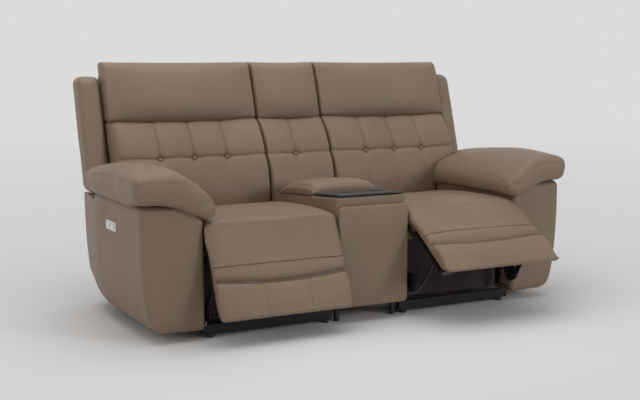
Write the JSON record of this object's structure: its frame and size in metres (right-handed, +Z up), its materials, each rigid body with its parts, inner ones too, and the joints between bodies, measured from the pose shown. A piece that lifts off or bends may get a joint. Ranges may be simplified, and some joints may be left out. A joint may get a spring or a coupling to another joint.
{
  "type": "power reclining sofa",
  "caption": "Leather two-seat power reclining sofa with a console between the seats, reclining backs, swinging footrests and padded arms.",
  "frame": {"origin": "centre of the sofa's bounding box at floor level, as posed in rest (left footrest 23 degrees open, right 55 degrees open)", "axes": "+X to the right seen from the front, +Y to the back, +Z up"},
  "size_m": [1.9626, 1.2317, 1.02],
  "materials": {
    "leather": "fine grained taupe leather, satin",
    "black_steel": "black stove enamel, satin",
    "zinc_steel": "zinc plated",
    "switch_metal": "bright satin",
    "black_plastic": "moulded, fine texture",
    "plywood": "raw plywood",
    "tray": "dark glossy",
    "dust_cloth": "thin dark lining cloth over board",
    "nylon": "natural nylon",
    "lead": "matt grey sheath"
  },
  "bodies": {
    "root": {"left_arm_cover": "leather", "right_arm_cover": "leather", "arm_frames": "plywood", "left_arm_pad": "leather", "right_arm_pad": "leather", "side_wings": "leather", "switch_plates": "switch_metal", "base_rails": "black_steel", "slide_tracks": "zinc_steel", "feet": "black_plastic", "rear_dust_panels": "dust_cloth", "power_supply": "black_plastic", "console_box": "leather", "console_front_pad": "leather", "console_back": "leather", "cup_tray": "tray", "lid_hinge_pin": "zinc_steel"},
    "console_lid": {"console_lid": "leather"},
    "left_open_button": {"left_open_button": "switch_metal"},
    "left_close_button": {"left_close_button": "switch_metal"},
    "right_open_button": {"right_open_button": "switch_metal"},
    "right_close_button": {"right_close_button": "switch_metal"},
    "left_seat": {"left_seat_cushion": "leather", "left_seat_frame": "plywood", "left_seat_springs": "zinc_steel", "left_side_plates": "black_steel", "left_glide_shoes": "nylon", "left_dust_panel": "dust_cloth", "left_actuator": "black_plastic", "left_motor_lead": "lead"},
    "left_back": {"left_headrest": "leather", "left_lumbar_cushion": "leather", "left_back_shell": "leather", "left_back_brackets": "black_steel", "left_tuft_buttons": "leather"},
    "left_footrest": {"left_footrest_pad": "leather", "left_footrest_board": "plywood", "left_footrest_arms": "black_steel"},
    "left_cranks": {"left_drive_cranks": "black_steel"},
    "left_rods": {"left_push_rods": "black_steel"},
    "left_drive": {"left_carriage": "zinc_steel"},
    "right_seat": {"right_seat_cushion": "leather", "right_seat_frame": "plywood", "right_seat_springs": "zinc_steel", "right_side_plates": "black_steel", "right_glide_shoes": "nylon", "right_dust_panel": "dust_cloth", "right_actuator": "black_plastic", "right_motor_lead": "lead"},
    "right_back": {"right_headrest": "leather", "right_lumbar_cushion": "leather", "right_back_shell": "leather", "right_back_brackets": "black_steel", "right_tuft_buttons": "leather"},
    "right_footrest": {"right_footrest_pad": "leather", "right_footrest_board": "plywood", "right_footrest_arms": "black_steel"},
    "right_cranks": {"right_drive_cranks": "black_steel"},
    "right_rods": {"right_push_rods": "black_steel"},
    "right_drive": {"right_carriage": "zinc_steel"}
  },
  "joints": [
    {"name": "left_glide", "type": "slide", "parent": "root", "child": "left_seat", "axis": [0, -1, 0], "range_m": [0, 0.06]},
    {"name": "left_recline", "type": "hinge", "parent": "left_seat", "child": "left_back", "pos_m": [-0.432, 0.33, 0.34], "axis": [-1, 0, 0], "range_deg": [0, 32]},
    {"name": "left_footrest", "type": "hinge", "parent": "left_seat", "child": "left_footrest", "pos_m": [-0.432, -0.31, 0.415], "axis": [-1, 0, 0], "range_deg": [-23, 65]},
    {"name": "left_crank", "type": "hinge", "parent": "left_seat", "child": "left_cranks", "pos_m": [-0.432, -0.22, 0.265], "axis": [-1, 0, 0], "range_deg": [-23, 65]},
    {"name": "left_rod", "type": "hinge", "parent": "left_cranks", "child": "left_rods", "pos_m": [-0.432, -0.25477, 0.06792], "axis": [-1, 0, 0], "range_deg": [-65, 23]},
    {"name": "left_carriage", "type": "slide", "parent": "left_seat", "child": "left_drive", "axis": [0, -1, 0], "range_m": [-0.0225, 0.0635]},
    {"name": "right_glide", "type": "slide", "parent": "root", "child": "right_seat", "axis": [0, -1, 0], "range_m": [0, 0.06]},
    {"name": "right_recline", "type": "hinge", "parent": "right_seat", "child": "right_back", "pos_m": [0.432, 0.33, 0.34], "axis": [-1, 0, 0], "range_deg": [0, 32]},
    {"name": "right_footrest", "type": "hinge", "parent": "right_seat", "child": "right_footrest", "pos_m": [0.432, -0.31, 0.415], "axis": [-1, 0, 0], "range_deg": [-55, 33]},
    {"name": "right_crank", "type": "hinge", "parent": "right_seat", "child": "right_cranks", "pos_m": [0.432, -0.22, 0.265], "axis": [-1, 0, 0], "range_deg": [-55, 33]},
    {"name": "right_rod", "type": "hinge", "parent": "right_cranks", "child": "right_rods", "pos_m": [0.432, -0.35392, 0.11629], "axis": [-1, 0, 0], "range_deg": [-33, 55]},
    {"name": "right_carriage", "type": "slide", "parent": "right_seat", "child": "right_drive", "axis": [0, -1, 0], "range_m": [-0.0537, 0.0323]},
    {"name": "console_lid_hinge", "type": "hinge", "parent": "root", "child": "console_lid", "pos_m": [0, 0.232, 0.46417], "axis": [-1, 0, 0], "range_deg": [0, 70]},
    {"name": "left_open_button_press", "type": "slide", "parent": "root", "child": "left_open_button", "axis": [1, 0, 0], "range_m": [0, 0.002], "stiffness_N_per_m": 600},
    {"name": "left_close_button_press", "type": "slide", "parent": "root", "child": "left_close_button", "axis": [1, 0, 0], "range_m": [0, 0.002], "stiffness_N_per_m": 600},
    {"name": "right_open_button_press", "type": "slide", "parent": "root", "child": "right_open_button", "axis": [-1, 0, 0], "range_m": [0, 0.002], "stiffness_N_per_m": 600},
    {"name": "right_close_button_press", "type": "slide", "parent": "root", "child": "right_close_button", "axis": [-1, 0, 0], "range_m": [0, 0.002], "stiffness_N_per_m": 600}
  ],
  "couplings": [
    {"joint": "left_glide", "follows": "left_recline", "m_per_rad": 0.1074},
    {"joint": "left_crank", "follows": "left_footrest", "ratio": 1},
    {"joint": "left_rod", "follows": "left_footrest", "ratio": -1},
    {"joint": "left_carriage", "follows": "left_footrest", "m_per_rad": 0.0558},
    {"joint": "right_glide", "follows": "right_recline", "m_per_rad": 0.1074},
    {"joint": "right_crank", "follows": "right_footrest", "ratio": 1},
    {"joint": "right_rod", "follows": "right_footrest", "ratio": -1},
    {"joint": "right_carriage", "follows": "right_footrest", "m_per_rad": 0.0558}
  ]
}
